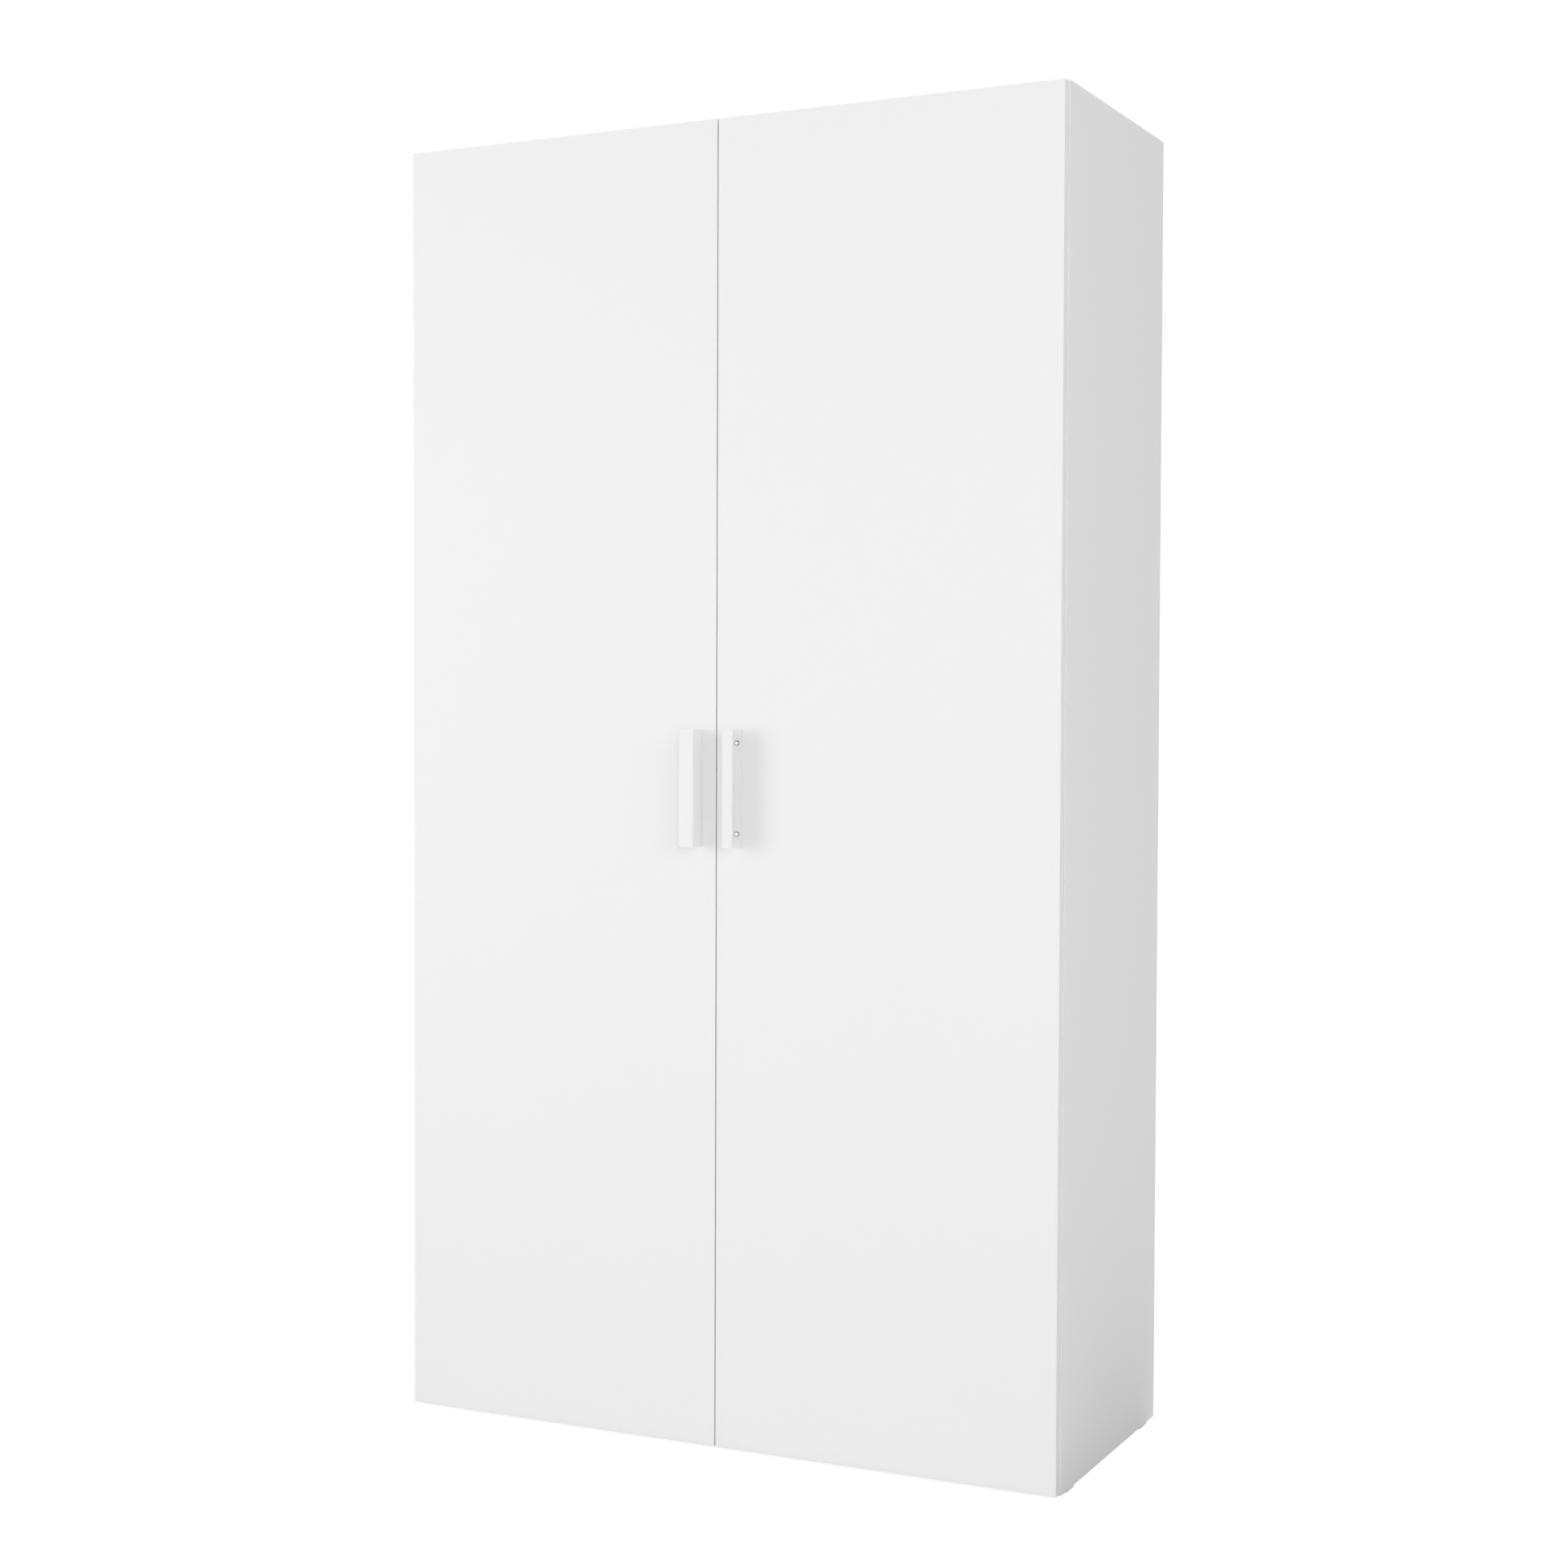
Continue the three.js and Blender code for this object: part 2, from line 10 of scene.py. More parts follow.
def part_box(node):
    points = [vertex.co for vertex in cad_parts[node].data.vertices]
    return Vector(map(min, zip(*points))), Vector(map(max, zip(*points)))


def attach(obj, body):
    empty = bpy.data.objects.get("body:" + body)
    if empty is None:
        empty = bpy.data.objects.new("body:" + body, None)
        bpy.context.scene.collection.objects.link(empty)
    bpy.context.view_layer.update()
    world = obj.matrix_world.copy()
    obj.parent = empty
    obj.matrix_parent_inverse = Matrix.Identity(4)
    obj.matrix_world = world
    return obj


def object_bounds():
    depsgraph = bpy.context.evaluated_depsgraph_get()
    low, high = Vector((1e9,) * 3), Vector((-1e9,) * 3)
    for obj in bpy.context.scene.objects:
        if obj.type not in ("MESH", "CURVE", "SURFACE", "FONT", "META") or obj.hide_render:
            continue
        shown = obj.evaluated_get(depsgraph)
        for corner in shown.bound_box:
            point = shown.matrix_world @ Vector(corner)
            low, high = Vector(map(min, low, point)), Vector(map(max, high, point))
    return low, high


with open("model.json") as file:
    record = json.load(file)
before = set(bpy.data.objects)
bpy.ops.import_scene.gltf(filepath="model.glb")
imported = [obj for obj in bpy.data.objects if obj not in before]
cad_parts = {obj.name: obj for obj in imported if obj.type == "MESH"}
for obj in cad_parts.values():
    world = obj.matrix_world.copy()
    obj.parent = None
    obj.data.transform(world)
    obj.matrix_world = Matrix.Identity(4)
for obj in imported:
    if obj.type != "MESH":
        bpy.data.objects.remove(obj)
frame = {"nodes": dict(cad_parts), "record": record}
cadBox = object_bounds()
cadNodes = frame["nodes"]
scene = bpy.context.scene
mm = 0.001
print("wardrobe frame:", len(cadNodes), "pieces")


# Shader maths. A wire is one output of a node, and a sum on it adds Math nodes.
class Wire:
    def __init__(self, nodes, socket):
        self.nodes = nodes
        self.socket = socket

    def out(self, name):
        return Wire(self.nodes, self.socket.node.outputs[name])

    def maths(self, operation, *values):
        return self.nodes.add("ShaderNodeMath", {"operation": operation}, dict(enumerate(values)))

    def __add__(self, other):
        return self.maths("ADD", self, other)

    def __radd__(self, other):
        return self.maths("ADD", other, self)

    def __sub__(self, other):
        return self.maths("SUBTRACT", self, other)

    def __rsub__(self, other):
        return self.maths("SUBTRACT", other, self)

    def __mul__(self, other):
        return self.maths("MULTIPLY", self, other)

    def __rmul__(self, other):
        return self.maths("MULTIPLY", other, self)

    def __gt__(self, other):
        return self.maths("GREATER_THAN", self, other)

    def __abs__(self):
        return self.maths("ABSOLUTE", self)

    def least(self, other):
        return self.maths("MINIMUM", self, other)

    def most(self, other):
        return self.maths("MAXIMUM", self, other)

    def root(self):
        return self.maths("SQRT", self)


# A node tree, and the one way in which nodes are added to it
class Nodes:
    def __init__(self, tree):
        self.tree = tree

    def add(self, kind, settings=None, sockets=None, output=0):
        made = self.tree.nodes.new(kind)
        for name, value in (settings or {}).items():
            setattr(made, name, value)
        for key, value in (sockets or {}).items():
            self.feed(made.inputs[key], value)
        return Wire(self, made.outputs[output]) if made.outputs else None

    def feed(self, socket, value):
        if isinstance(value, Wire):
            self.tree.links.new(value.socket, socket)
        else:
            socket.default_value = value

    def ramp(self, value, low, high):
        sockets = {"Value": value, "From Min": low, "From Max": high}
        return self.add("ShaderNodeMapRange", {"interpolation_type": "SMOOTHSTEP"}, sockets)

    def seenDirectly(self):
        path = self.add("ShaderNodeLightPath", output="Is Camera Ray")
        return path.most(path.out("Is Glossy Ray")).most(path.out("Is Transmission Ray"))


# A material with its one shader; its coordinates are metres on the piece
class Paint(Nodes):
    def __init__(self, name, fixed=None):
        self.material = bpy.data.materials.new(name)
        self.material.use_nodes = True
        super().__init__(self.material.node_tree)
        self.shader = self.tree.nodes["Principled BSDF"]
        for socket, value in (fixed or {}).items():
            self.shader.inputs[socket].default_value = value
        self.place = self.add("ShaderNodeTexCoord", output="Object")

    def set(self, name, value):
        self.feed(self.shader.inputs[name], value)

    def facing(self, axis):
        normal = self.add("ShaderNodeTexCoord", output="Normal")
        return self.add("ShaderNodeSeparateXYZ", sockets={"Vector": normal}, output=axis)

    def stretched(self, scale):
        return self.add("ShaderNodeMapping", sockets={"Vector": self.place, "Scale": scale})

    def noise(self, scale, detail=2.0, roughness=0.5, place=None):
        sockets = {"Vector": place or self.place, "Scale": scale, "Detail": detail, "Roughness": roughness}
        return self.add("ShaderNodeTexNoise", sockets=sockets, output="Fac")

    def blend(self, factor, first, second):
        sockets = {"Factor": factor, 6: first, 7: second}  # 6, 7 and output 2 are its colours
        return self.add("ShaderNodeMix", {"data_type": "RGBA"}, sockets, 2)

    def relief(self, sizes, detail=2.0, under=None):
        return self.bump(self.noise(sizes["scale"], detail), sizes["height"], sizes["strength"], under)

    def bump(self, pattern, height, strength=1.0, under=None):
        sockets = {"Height": pattern, "Distance": height, "Strength": strength}
        if under:
            sockets["Normal"] = under
        return self.add("ShaderNodeBump", sockets=sockets)


# A grey with its red raised and its blue lowered by the warmth
blueLoss = 1.6


def shade(grey, warmth=0.0):
    return (grey * (1 + warmth), grey, grey * (1 - blueLoss * warmth), 1.0)


# White foil on particle board. Inside the bores and grooves, deeper than the skin, the raw board shows.
foil = {
    "tint": shade(0.905, 0.001),
    "cloudTint": shade(0.893, 0.002),
    "edgeTint": shade(0.915, 0.002),
    # painted highlight: the sides' edges, brighter than the foil
    "highlightBandTint": shade(0.985, 0.001),
    "coreTint": (0.50, 0.36, 0.22, 1.0),
    "coreDark": (0.27, 0.17, 0.09, 1.0),
    "skin": 0.3 * mm,
    "flatTo": 0.7,
    "cloudScale": 3.5,
    "speckScale": 260.0,
    "chipScale": 900.0,
    "roughness": {"base": 0.42, "patches": 0.07, "patchScale": 46.0, "edge": 0.06, "core": 0.35},
    "waves": {"scale": 55.0, "height": 0.05 * mm, "strength": 0.5},
    "peel": {"scale": 1100.0, "height": 0.012 * mm, "strength": 0.5},
    "chipHeight": 0.5 * mm,
}


def makeFoil(name, lo, hi, thickAxis, edgeTint):
    paint = Paint(name, {"IOR": 1.46})
    split = paint.add("ShaderNodeSeparateXYZ", sockets={"Vector": paint.place}, output="X")
    depths = []
    for axis, key in enumerate("XYZ"):
        run = split.out(key)
        depths.append((run - lo[axis]).least(hi[axis] - run))
    core = depths[0].least(depths[1]).least(depths[2]) > foil["skin"]
    edge = 1 - (abs(paint.facing("XYZ"[thickAxis])) > foil["flatTo"])
    cloud = 0.5 * paint.noise(foil["cloudScale"], detail=3.0) + 0.5 * paint.noise(foil["speckScale"])
    # On the sides the edge colour is a painted highlight
    skin = paint.blend(edge, paint.blend(cloud, foil["tint"], foil["cloudTint"]), foil[edgeTint])
    sockets = {"Vector": paint.place, "Scale": foil["chipScale"]}
    chips = paint.add("ShaderNodeTexVoronoi", sockets=sockets, output="Distance")
    board = paint.blend(chips, foil["coreTint"], foil["coreDark"])
    paint.set("Base Color", paint.blend(core, skin, board))
    rough = foil["roughness"]
    patches = rough["base"] + rough["patches"] * paint.noise(rough["patchScale"], detail=4.0)
    paint.set("Roughness", patches + rough["edge"] * edge + rough["core"] * core)
    waves = paint.relief(foil["waves"], detail=3.0)
    peel = paint.relief(foil["peel"], detail=1.0, under=waves)
    paint.set("Normal", paint.bump(core * chips, foil["chipHeight"], under=peel))
    return paint.material


# The back: white lacquer towards the clothes, bare brown board towards the wall
hardboard = {
    "white": shade(0.86, 0.003),
    "whiteCloud": shade(0.84, 0.005),
    "brown": (0.36, 0.235, 0.135, 1.0),
    "brownFibre": (0.25, 0.155, 0.085, 1.0),
    "bareFrom": 0.5,
    "fibreScale": 240.0,
    "fibreStretch": (1.0, 1.0, 0.35),
    "fibreShare": 0.55,
    "relief": {"height": 0.06 * mm, "strength": 0.6},
    "patchScale": 14.0,
    "roughness": {"base": 0.46, "fibres": 0.08, "bare": 0.22},
}


def makeHardboard():
    paint = Paint("white_hardboard")
    bare = paint.facing("Y") > hardboard["bareFrom"]
    along = paint.stretched(hardboard["fibreStretch"])
    fibres = paint.noise(hardboard["fibreScale"], detail=5.0, roughness=0.65, place=along)
    patches = paint.noise(hardboard["patchScale"], detail=3.0)
    share = hardboard["fibreShare"]
    mottle = share * fibres + (1 - share) * patches
    brown = paint.blend(mottle, hardboard["brown"], hardboard["brownFibre"])
    white = paint.blend(patches, hardboard["white"], hardboard["whiteCloud"])
    paint.set("Base Color", paint.blend(bare, white, brown))
    rough = hardboard["roughness"]
    paint.set("Roughness", rough["base"] + rough["fibres"] * fibres + rough["bare"] * bare)
    paint.set("Normal", paint.bump(fibres, **hardboard["relief"]))
    return paint.material


# Powder coat on the handles, with its fine orange peel
powderCoat = {
    "tint": shade(0.915, 0.001),
    "cloudTint": shade(0.9, 0.002),
    "cloudScale": 60.0,
    "roughness": {"base": 0.34, "specks": 0.1},
    "specks": {"scale": 2400.0, "height": 0.006 * mm, "strength": 0.5},
    "peel": {"scale": 520.0, "height": 0.03 * mm, "strength": 0.6},
}


def makePowderCoat():
    paint = Paint("white_powder_coat")
    fine = powderCoat["specks"]
    rough = powderCoat["roughness"]
    specks = paint.noise(fine["scale"], detail=1.0)
    clouds = paint.noise(powderCoat["cloudScale"])
    paint.set("Base Color", paint.blend(clouds, powderCoat["tint"], powderCoat["cloudTint"]))
    paint.set("Roughness", rough["base"] + rough["specks"] * specks)
    peel = paint.relief(powderCoat["peel"])
    paint.set("Normal", paint.bump(specks, fine["height"], fine["strength"], peel))
    return paint.material


# Pressed and nickel plated fittings
nickel = {
    "bright": (0.78, 0.77, 0.75, 1.0),
    "stained": (0.66, 0.65, 0.63, 1.0),
    "stainScale": 130.0,
    "grit": {"scale": 1500.0, "height": 0.01 * mm, "strength": 0.5},
    "roughness": {"base": 0.18, "stain": 0.14, "grit": 0.08},
}


def makeNickel():
    paint = Paint("nickel_plated_steel", {"Metallic": 1.0})
    fine = nickel["grit"]
    rough = nickel["roughness"]
    stain = paint.noise(nickel["stainScale"], detail=3.0)
    grit = paint.noise(fine["scale"], detail=3.0)
    paint.set("Base Color", paint.blend(stain, nickel["bright"], nickel["stained"]))
    paint.set("Roughness", rough["base"] + rough["stain"] * stain + rough["grit"] * grit)
    paint.set("Normal", paint.bump(grit, fine["height"], fine["strength"]))
    return paint.material


# The handle screws: bright zinc, with painted shade round the rim of the head, a painted dark reflection
zinc = {
    "bright": shade(0.9),
    "dull": shade(0.8),
    # painted shade: the colour of the darkened rim, standing in for a dark reflection
    "paintedRimShade": shade(0.27),
    "unshadedRadius": 2.04 * mm,
    "darkRadius": 2.76 * mm,
    "stainScale": 700.0,
    "grit": {"scale": 1500.0, "height": 0.006 * mm, "strength": 0.5},
    "roughness": {"base": 0.08, "stain": 0.1, "rim": 0.12},
}


def makeZinc():
    paint = Paint("bright_zinc", {"Metallic": 1.0})
    low, high = (sum(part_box("right_handle_screw_" + level), Vector()) / 2 for level in ("lower", "upper"))
    middle = (low + high) / 2
    run = paint.add("ShaderNodeSeparateXYZ", sockets={"Vector": paint.place}, output="X")
    across = abs(run) - middle.x
    along = abs(run.out("Z") - middle.z) - (high - middle).z
    rough = zinc["roughness"]
    # Painted shade: each head darkens towards its rim, by the distance from the screw's centre
    rim = paint.ramp((across * across + along * along).root(), zinc["unshadedRadius"], zinc["darkRadius"])
    stain = paint.noise(zinc["stainScale"], detail=3.0)
    metal = paint.blend(stain, zinc["bright"], zinc["dull"])
    paint.set("Base Color", paint.blend(rim, metal, zinc["paintedRimShade"]))
    paint.set("Roughness", rough["base"] + rough["stain"] * stain + rough["rim"] * rim)
    paint.set("Normal", paint.relief(zinc["grit"], detail=3.0))
    return paint.material


# The chromed rail and its sockets, with the lines that drawing the tube leaves
chrome = {
    "bright": (0.80, 0.81, 0.82, 1.0),
    "smeared": (0.74, 0.75, 0.76, 1.0),
    "smearScale": 25.0,
    "lineScale": 900.0,
    "lineStretch": (0.02, 1.0, 1.0),
    "relief": {"height": 0.006 * mm, "strength": 0.4},
    "roughness": {"base": 0.06, "smears": 0.07, "lines": 0.06},
}


def makeChrome():
    paint = Paint("chromed_steel", {"Metallic": 1.0})
    rough = chrome["roughness"]
    along = paint.stretched(chrome["lineStretch"])
    lines = paint.noise(chrome["lineScale"], detail=3.0, roughness=0.6, place=along)
    smears = paint.noise(chrome["smearScale"], detail=3.0)
    paint.set("Base Color", paint.blend(smears, chrome["bright"], chrome["smeared"]))
    paint.set("Roughness", rough["base"] + rough["smears"] * smears + rough["lines"] * lines)
    paint.set("Normal", paint.bump(lines, **chrome["relief"]))
    return paint.material


# Moulded plastics, with the fine grain of a spark-eroded mould
plastics = {
    "white_plastic": {"tint": shade(0.85, 0.002), "cloud": shade(0.83, 0.003), "rough": 0.36, "clear": 0.0},
    "clear_plastic": {"tint": shade(0.82), "cloud": shade(0.78), "rough": 0.2, "clear": 0.35},
}
mould = {"cloudScale": 80.0, "grainScale": 1700.0, "height": 0.015 * mm, "strength": 0.5, "rough": 0.12}


def makePlastic(name):
    plastic = plastics[name]
    paint = Paint(name, {"Transmission Weight": plastic["clear"]})
    grain = paint.noise(mould["grainScale"])
    clouds = paint.noise(mould["cloudScale"])
    paint.set("Base Color", paint.blend(clouds, plastic["tint"], plastic["cloud"]))
    paint.set("Roughness", plastic["rough"] + mould["rough"] * grain)
    paint.set("Normal", paint.bump(grain, mould["height"], mould["strength"]))
    return paint.material


finishes = {
    "white_hardboard": makeHardboard(),
    "white_powder_coat": makePowderCoat(),
    "nickel_plated_steel": makeNickel(),
    "chromed_steel": makeChrome(),
    "bright_zinc": makeZinc(),
    "white_plastic": makePlastic("white_plastic"),
    "clear_plastic": makePlastic("clear_plastic"),
}

# The axis that each board is thin along, and the colour of its edges; the sides' edges are brighter, a
# painted highlight
boards = {
    "left_side": (0, "highlightBandTint"),
    "right_side": (0, "highlightBandTint"),
    "top_panel": (2, "edgeTint"),
    "bottom_panel": (2, "edgeTint"),
    "hat_shelf": (2, "edgeTint"),
    "left_door": (1, "edgeTint"),
    "right_door": (1, "edgeTint"),
}

# Edges: round shapes are smoothed up to the crease angle, and sharper edges get a small rounding
edges = {
    "crease": math.radians(34),
    "segments": 2,
    "radius": {
        "white_foil": 0.35 * mm,
        "white_hardboard": 0.15 * mm,
        "white_powder_coat": 0.3 * mm,
        "nickel_plated_steel": 0.15 * mm,
        "chromed_steel": 0.15 * mm,
        "white_plastic": 0.2 * mm,
        "clear_plastic": 0.2 * mm,
    },
    "fittingRadius": 0.08 * mm,
}


def makeSmoother():
    group = bpy.data.node_groups.new("smooth_up_to_crease", "GeometryNodeTree")
    for way in ("INPUT", "OUTPUT"):
        group.interface.new_socket("Geometry", in_out=way, socket_type="NodeSocketGeometry")
    nodes = Nodes(group)
    shape = nodes.add("NodeGroupInput")
    angle = nodes.add("GeometryNodeInputMeshEdgeAngle", output="Unsigned Angle")
    soft = nodes.add("FunctionNodeCompare", {"operation": "LESS_THAN"}, {0: angle, 1: edges["crease"]})
    smooth = nodes.add("GeometryNodeSetShadeSmooth", {"domain": "FACE"}, {"Geometry": shape})
    sockets = {"Geometry": smooth, "Shade Smooth": soft}
    creased = nodes.add("GeometryNodeSetShadeSmooth", {"domain": "EDGE"}, sockets)
    nodes.add("NodeGroupOutput", sockets={0: creased})
    return group


smoother = makeSmoother()
slotOf = {row["node"]: row["material_slot"] for row in frame["record"]["subparts"]}


def finishEdges(piece, radius):
    piece.modifiers.new("smooth", "NODES").node_group = smoother
    bevel = piece.modifiers.new("edges", "BEVEL")
    bevel.width = radius
    bevel.segments = edges["segments"]
    bevel.limit_method = "ANGLE"
    bevel.angle_limit = edges["crease"]
    bevel.harden_normals = True


def dressNode(name, piece):
    slot = slotOf[name]
    if name in boards:
        material = makeFoil("white_foil_" + name, *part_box(name), *boards[name])
    elif "handle_screw" in name:
        material = finishes["bright_zinc"]
    else:
        material = finishes[slot]
    piece.data.materials.clear()
    piece.data.materials.append(material)
    finishEdges(piece, edges["radius"][slot])


for nodeName, nodePiece in cadNodes.items():
    dressNode(nodeName, nodePiece)
print("finishes on", len(cadNodes), "pieces")


# Meshes of rings round the Z axis, for screws and caps; a radius of 0 closes an end
def ringMesh(outline, sides):
    mesh = bmesh.new()
    rings = []
    for radius, height in outline:
        angles = [2 * math.pi * i / sides for i in range(sides if radius else 1)]
        rings.append([mesh.verts.new((radius * math.cos(a), radius * math.sin(a), height)) for a in angles])
    for low, high in zip(rings, rings[1:]):
        for i in range(sides):
            j = (i + 1) % sides
            corners = [low[i % len(low)], low[j % len(low)], high[j % len(high)], high[i % len(high)]]
            mesh.faces.new(list(dict.fromkeys(corners)))  # a closed end has three corners
    bmesh.ops.recalc_face_normals(mesh, faces=mesh.faces)
    return mesh


def meshFrom(shape, name):
    mesh = bpy.data.meshes.new(name)
    shape.to_mesh(mesh)
    shape.free()
    return mesh


def pieceFrom(mesh, name, material):
    mesh.materials.append(material)
    piece = bpy.data.objects.new(name, mesh)
    scene.collection.objects.link(piece)
    return piece


# One piece made of the same mesh in several places
def repeated(mesh, matrices, name, slot, body):
    group = bmesh.new()
    for matrix in matrices:
        copy = mesh.copy()
        copy.transform(matrix)
        group.from_mesh(copy)
        bpy.data.meshes.remove(copy)
    piece = pieceFrom(meshFrom(group, name), name, finishes[slot])
    finishEdges(piece, edges["fittingRadius"])
    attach(piece, body)


# Screws with a cross recess; the head sits at height 0 and its recess looks up
screwSizes = ("radius", "rim", "height", "cross", "slot")
screwKinds = {
    "wing": (3.7 * mm, 0.35 * mm, 1.3 * mm, 4.4 * mm, 1.0 * mm),
    "plate": (3.4 * mm, 0.5 * mm, 1.6 * mm, 4.2 * mm, 1.0 * mm),
    "adjusting": (1.8 * mm, 2.4 * mm, 2.7 * mm, 2.6 * mm, 0.7 * mm),
    "socket": (2.7 * mm, 0.4 * mm, 1.3 * mm, 3.2 * mm, 0.8 * mm),
}
screwShape = {
    "sides": 24,
    "domeSteps": 6,
    "shankShare": 0.5,
    "shankDepth": 0.6 * mm,
    "recessShare": 0.55,
    "spin": 0.7,
}


def makeScrew(kind):
    sizes = dict(zip(screwSizes, screwKinds[kind]))
    domeSteps = screwShape["domeSteps"]
    shank = (sizes["radius"] * screwShape["shankShare"], -screwShape["shankDepth"])
    outline = [(0, shank[1]), shank, (shank[0], 0), (sizes["radius"], 0)]
    for i in range(domeSteps):
        turn = math.pi / 2 * i / domeSteps
        rise = (sizes["height"] - sizes["rim"]) * math.sin(turn)
        outline.append((sizes["radius"] * math.cos(turn), sizes["rim"] + rise))
    outline.append((0, sizes["height"]))
    head = ringMesh(outline, screwShape["sides"])
    screw = pieceFrom(meshFrom(head, kind), kind, finishes["nickel_plated_steel"])
    cross = bmesh.new()
    lift = Matrix.Translation((0, 0, (2 - screwShape["recessShare"]) * sizes["height"]))
    bar = Matrix.Diagonal((sizes["cross"], sizes["slot"], 2 * sizes["height"], 1))
    for turn in (0, math.pi / 2):
        bmesh.ops.create_cube(cross, size=1, matrix=lift @ Matrix.Rotation(turn, 4, "Z") @ bar)
    tool = pieceFrom(meshFrom(cross, "cross"), "cross", finishes["nickel_plated_steel"])
    boolean = screw.modifiers.new("recess", "BOOLEAN")
    boolean.solver = "EXACT"
    boolean.use_self = True  # the cross is two bars that run through each other
    boolean.object = tool
    bpy.context.view_layer.update()
    cut = bpy.data.meshes.new_from_object(screw.evaluated_get(bpy.context.evaluated_depsgraph_get()))
    for piece in (screw, tool):
        bpy.data.objects.remove(piece)
    return cut


screwMeshes = {kind: makeScrew(kind) for kind in screwKinds}


def placeScrews(name, kind, places, direction, body):
    aim = Vector(direction).to_track_quat("Z", "Y").to_matrix().to_4x4()
    matrices = []
    for i, place in enumerate(places):
        turn = screwShape["spin"] * (i + 1) + sum(place)  # no two screws stop at the same turn
        spin = Matrix.Rotation(turn, 4, "Z")
        matrices.append(Matrix.Translation(place) @ aim @ spin)
    repeated(screwMeshes[kind], matrices, name, "nickel_plated_steel", body)


# Hinge screws: two in the wings of each cup, two in each mounting plate, two for adjusting the arm
hingeScrews = {
    "wingInset": 9.0 * mm,  # from the inner edge of the cup's rim
    "wingHeight": 24.0 * mm,
    "plateFromFront": 37.0 * mm,
    "plateHeight": 16.0 * mm,
    "plateThickness": 2.4 * mm,
    "adjustersFromFront": (62 / 3 * mm, 46.5 * mm),
    "adjusterSink": 2.9 * mm,
}
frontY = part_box("left_side")[0].y


def hingeBoxes(side, kind):
    names = sorted(name for name in cadNodes if name.startswith(f"{side}_hinge_{kind}_"))
    return [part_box(name) for name in names]


def addHingeScrews(side, hand):
    inward = (-hand, 0, 0)
    for i, (lo, hi) in enumerate(hingeBoxes(side, "cup"), 1):
        x = (hi.x if hand < 0 else lo.x) + hand * hingeScrews["wingInset"]
        z = (lo.z + hi.z) / 2
        places = [(x, hi.y, z + way * hingeScrews["wingHeight"]) for way in (-1, 1)]
        placeScrews(f"{side}_cup_screws_{i}", "wing", places, (0, 1, 0), side + "_door")
    for i, (lo, hi) in enumerate(hingeBoxes(side, "arm"), 1):
        z = (lo.z + hi.z) / 2
        wallX, roofX = (lo.x, hi.x) if hand < 0 else (hi.x, lo.x)
        x = wallX - hand * hingeScrews["plateThickness"]
        y = frontY + hingeScrews["plateFromFront"]
        places = [(x, y, z + way * hingeScrews["plateHeight"]) for way in (-1, 1)]
        placeScrews(f"{side}_plate_screws_{i}", "plate", places, inward, "carcass")
        x = roofX + hand * hingeScrews["adjusterSink"]
        places = [(x, frontY + run, z) for run in hingeScrews["adjustersFromFront"]]
        placeScrews(f"{side}_adjusting_screws_{i}", "adjusting", places, inward, "carcass")


# Screws of the rail's sockets
socketScrews = {"height": 20.6 * mm, "plateThickness": 3.0 * mm}


def addSocketScrews(side, hand):
    lo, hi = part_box("rail_socket_" + side)
    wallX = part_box(side + "_side")[1 if hand < 0 else 0].x
    x = wallX - hand * socketScrews["plateThickness"]
    z = (lo.z + hi.z) / 2
    places = [(x, (lo.y + hi.y) / 2, z + way * socketScrews["height"]) for way in (-1, 1)]
    placeScrews(f"{side}_socket_screws", "socket", places, (-hand, 0, 0), "carcass")


for sideName, sideHand in (("left", -1), ("right", 1)):
    addHingeScrews(sideName, sideHand)
    addSocketScrews(sideName, sideHand)
print("screws placed")

# Round caps over the connecting cams, on the undersides of the top and bottom panels
camCaps = {
    "radius": 8.6 * mm,
    "height": 0.8 * mm,
    "wall": 0.32 * mm,
    "chamfer": 0.4 * mm,
    "fromEnd": 34.0 * mm,
    "fromEdge": 64.0 * mm,
    "sides": 40,
}


def addCamCaps(panel):
    lo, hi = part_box(panel)
    radius = camCaps["radius"]
    height = camCaps["height"]
    face = radius - camCaps["chamfer"]
    outline = [(0, 0), (radius, 0), (radius, -camCaps["wall"]), (face, -height), (0, -height)]
    matrices = []
    for x in (lo.x + camCaps["fromEnd"], hi.x - camCaps["fromEnd"]):
        for y in (lo.y + camCaps["fromEdge"], hi.y - camCaps["fromEdge"]):
            matrices.append(Matrix.Translation((x, y, lo.z)))
    cap = meshFrom(ringMesh(outline, camCaps["sides"]), "cap")
    repeated(cap, matrices, panel + "_cam_caps", "white_plastic", "carcass")


for panelName in ("top_panel", "bottom_panel"):
    addCamCaps(panelName)
print("cam caps placed")

# Camera, fitted to the photograph's edges; its centre line is left of the middle, as in a cropped picture
photo = {"side": 1932.0, "focal": 3271.97, "centreX": 627.38, "centreY": 966.4}
camera = {"place": (1.56443, -3.63645, 1.07321), "turn": 0.50696, "tilt": 0.03289, "sensor": 36.0}


def makeCamera():
    data = bpy.data.cameras.new("camera")
    data.sensor_width = camera["sensor"]
    data.lens = camera["sensor"] * photo["focal"] / photo["side"]
    data.shift_x = 0.5 - photo["centreX"] / photo["side"]
    data.shift_y = photo["centreY"] / photo["side"] - 0.5
    view = bpy.data.objects.new("camera", data)
    turn = camera["turn"]
    flat = math.cos(camera["tilt"])
    ahead = Vector((-math.sin(turn) * flat, math.cos(turn) * flat, -math.sin(camera["tilt"])))
    view.location = camera["place"]
    view.rotation_mode = "QUATERNION"
    view.rotation_quaternion = ahead.to_track_quat("-Z", "Y")
    scene.collection.objects.link(view)
    scene.camera = view


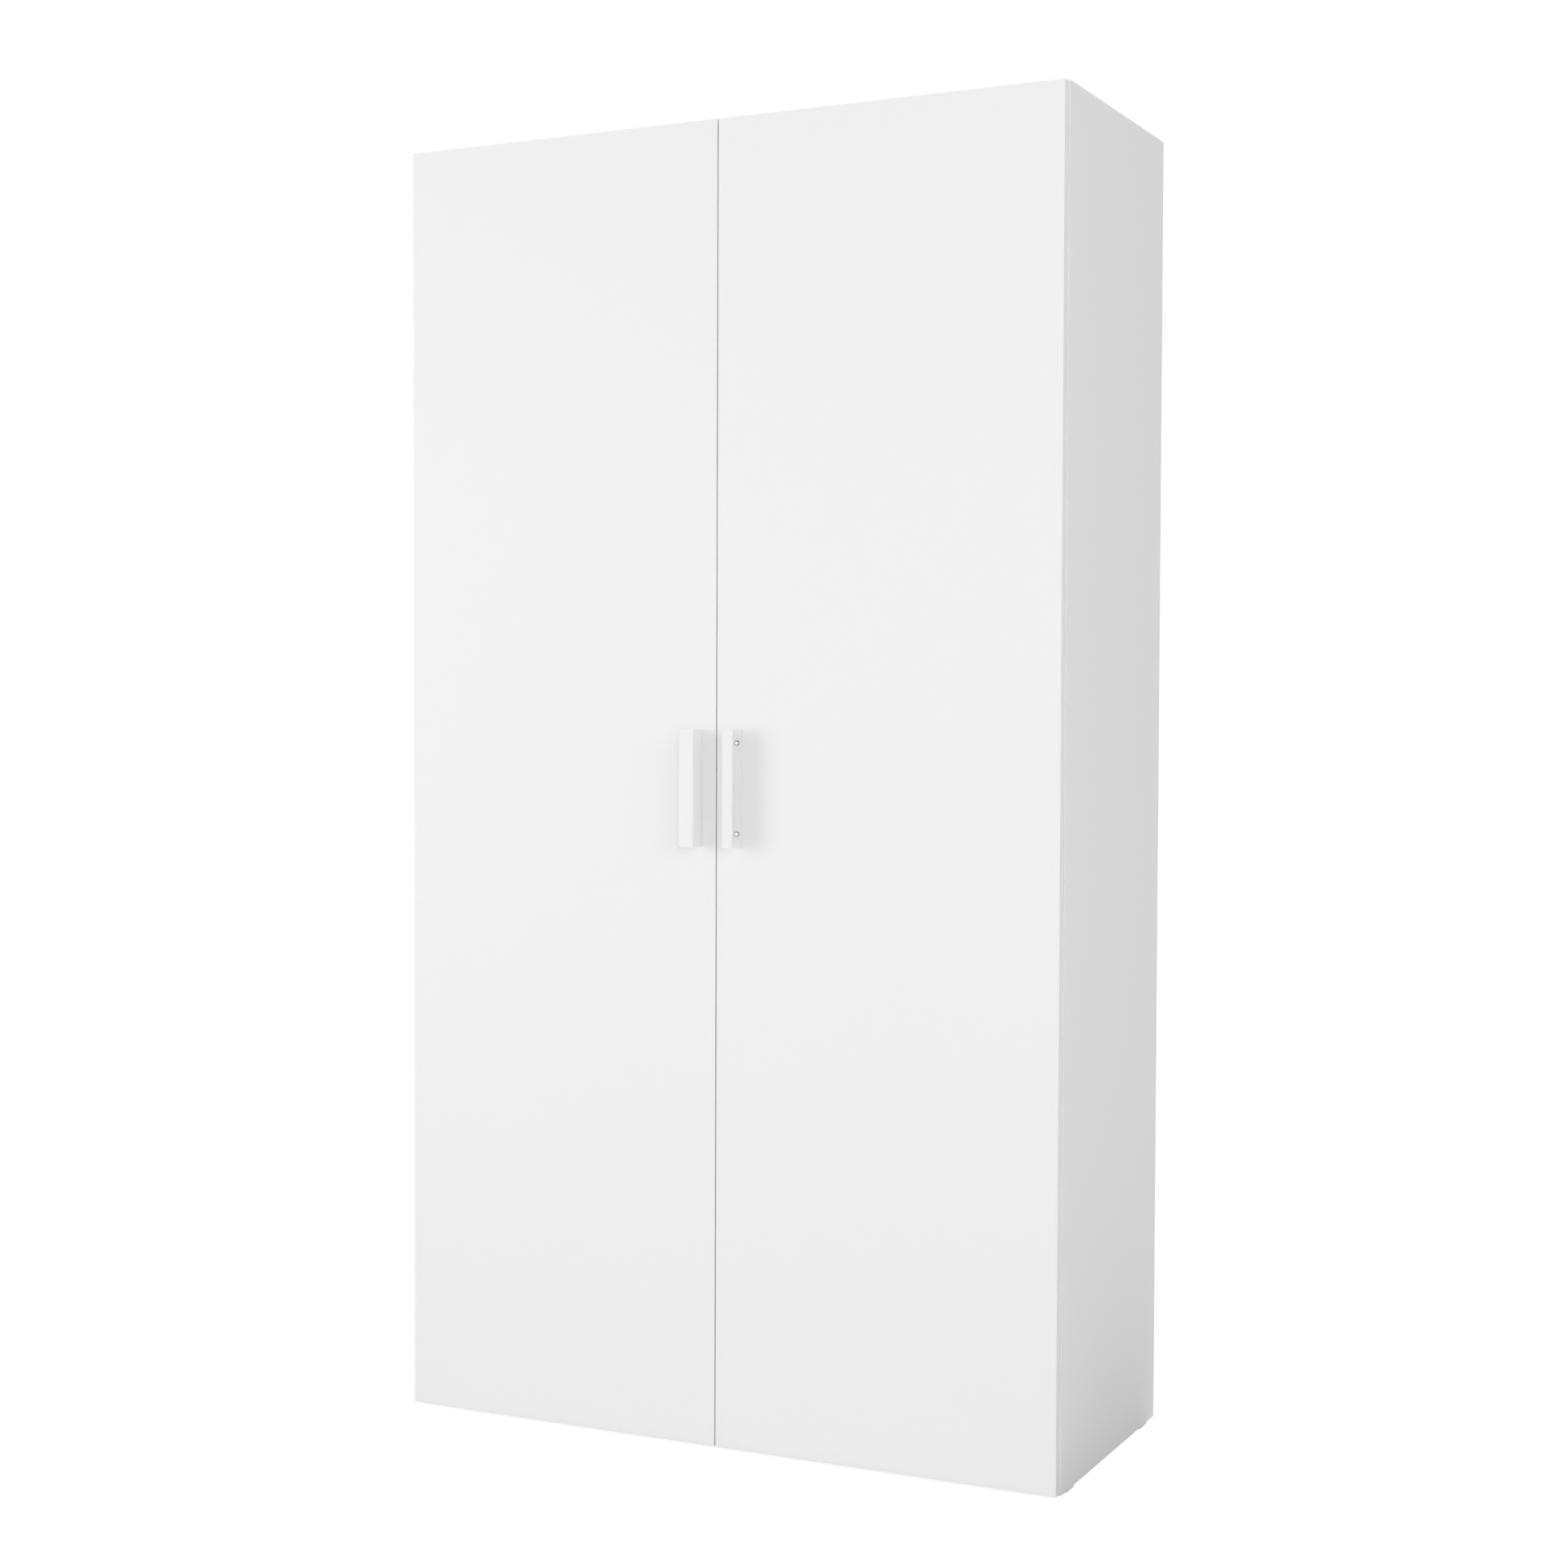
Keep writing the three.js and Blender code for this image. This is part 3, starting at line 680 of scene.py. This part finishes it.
# Light: an even white room, and soft lamps in front, each turned to the middle of the wardrobe.
# Polished metal also shows a dark ceiling, and a black flag that stands to the right.
light = {
    "room": 0.585,
    "ceiling": {"low": 0.35, "high": 0.6, "dark": 0.85},
    "flag": {"turn": 84, "rise": 30, "edge": 0.72, "inner": 0.82, "dark": 0.97},
    "aim": (0.0, -0.2, 0.95),
    "lamps": {
        "key": {"turn": 35, "rise": 12, "distance": 4.5, "width": 2.0, "height": 2.0, "power": 16.3},
        "right": {"turn": 60, "rise": 15, "distance": 4.2, "width": 2.0, "height": 2.0, "power": 15.0},
        "front": {"turn": 25, "rise": 4, "distance": 4.5, "width": 1.0, "height": 3.0, "power": 22.6},
        "leftFront": {"turn": -33, "rise": 4, "distance": 4.5, "width": 0.8, "height": 3.0, "power": 16.0},
        "left": {"turn": -48, "rise": 4, "distance": 4.5, "width": 1.5, "height": 3.0, "power": 35.0},
    },
}


def outward(turn, rise):
    turn = math.radians(turn)
    rise = math.radians(rise)
    return Vector((math.sin(turn) * math.cos(rise), -math.cos(turn) * math.cos(rise), math.sin(rise)))


def makeLamp(name, turn, rise, distance, width, height, power):
    data = bpy.data.lights.new(name, "AREA")
    data.shape = "RECTANGLE"
    data.size = width
    data.size_y = height
    data.energy = power
    away = outward(turn, rise)
    lamp = bpy.data.objects.new(name, data)
    lamp.location = Vector(light["aim"]) + distance * away
    lamp.rotation_mode = "QUATERNION"
    lamp.rotation_quaternion = (-away).to_track_quat("-Z", "Y")
    scene.collection.objects.link(lamp)


def makeRoom():
    scene.world = bpy.data.worlds.new("room")
    scene.world.use_nodes = True
    scene.world.node_tree.nodes.clear()
    nodes = Nodes(scene.world.node_tree)
    white = (1.0, 1.0, 1.0, 1.0)
    lit = nodes.add("ShaderNodeBackground", sockets={"Color": white, "Strength": light["room"]})
    way = nodes.add("ShaderNodeTexCoord", output="Generated")
    ceiling = light["ceiling"]
    flag = light["flag"]
    height = nodes.add("ShaderNodeSeparateXYZ", sockets={"Vector": way}, output="Z")
    toFlag = {0: way, 1: outward(flag["turn"], flag["rise"])}
    closeness = nodes.add("ShaderNodeVectorMath", {"operation": "DOT_PRODUCT"}, toFlag, "Value")
    above = nodes.ramp(height, ceiling["low"], ceiling["high"])
    beside = nodes.ramp(closeness, flag["edge"], flag["inner"])
    mirrored = nodes.add("ShaderNodeLightPath", output="Is Glossy Ray")
    shaded = (ceiling["dark"] * above).most(flag["dark"] * beside) * mirrored
    plain = nodes.add("ShaderNodeBackground", sockets={"Color": white, "Strength": 1.0})
    dark = nodes.add("ShaderNodeBackground", sockets={"Color": white, "Strength": 0.0})
    seen = nodes.add("ShaderNodeMixShader", sockets={0: shaded, 1: plain, 2: dark})
    room = nodes.add("ShaderNodeMixShader", sockets={0: nodes.seenDirectly(), 1: lit, 2: seen})
    nodes.add("ShaderNodeOutputWorld", sockets={"Surface": room})


# Floor: it looks white but for the wardrobe's faint shadow; beside the wardrobe its colour is darker, a
# painted shadow that gives less light back
floor = {
    "size": 40.0,
    # painted shadow: the floor's colour close to the wardrobe
    "near": shade(0.22),
    "far": shade(0.8),
    "sideReach": 0.5,
    "frontEdge": 0.2,
    "frontReach": 0.03,
    "seenTint": shade(0.35),
    "glow": 0.9,
}


def makeFloor():
    paint = Paint("floor")
    hi = cadBox[1]
    run = paint.add("ShaderNodeSeparateXYZ", sockets={"Vector": paint.place}, output="X")
    # Painted shadow: the colour darkens towards the wardrobe, more beside it than in front
    aside = (abs(run) - hi.x).most(0) * (1 / floor["sideReach"])
    before = (abs(run.out("Y")) - floor["frontEdge"]).most(0) * (1 / floor["frontReach"])
    away = (aside * aside + before * before).root()
    fade = paint.ramp(away, 0.0, 1.0)
    tint = paint.blend(fade, floor["near"], floor["far"])
    matte = paint.add("ShaderNodeBsdfDiffuse", sockets={"Color": tint})
    seen = paint.add("ShaderNodeBsdfDiffuse", sockets={"Color": floor["seenTint"]})
    glow = paint.add("ShaderNodeEmission", sockets={"Strength": floor["glow"]})
    white = paint.add("ShaderNodeAddShader", sockets={0: seen, 1: glow})
    mixed = paint.add("ShaderNodeMixShader", sockets={0: paint.seenDirectly(), 1: matte, 2: white})
    paint.feed(paint.tree.nodes["Material Output"].inputs["Surface"], mixed)
    paint.tree.nodes.remove(paint.shader)
    mesh = bmesh.new()
    bmesh.ops.create_grid(mesh, x_segments=1, y_segments=1, size=floor["size"] / 2)
    pieceFrom(meshFrom(mesh, "floor"), "floor", paint.material)


makeCamera()
for lampName, lampSizes in light["lamps"].items():
    makeLamp(lampName, **lampSizes)
makeRoom()
makeFloor()
scene.view_settings.view_transform = "Standard"
print("camera, lamps and floor ready")
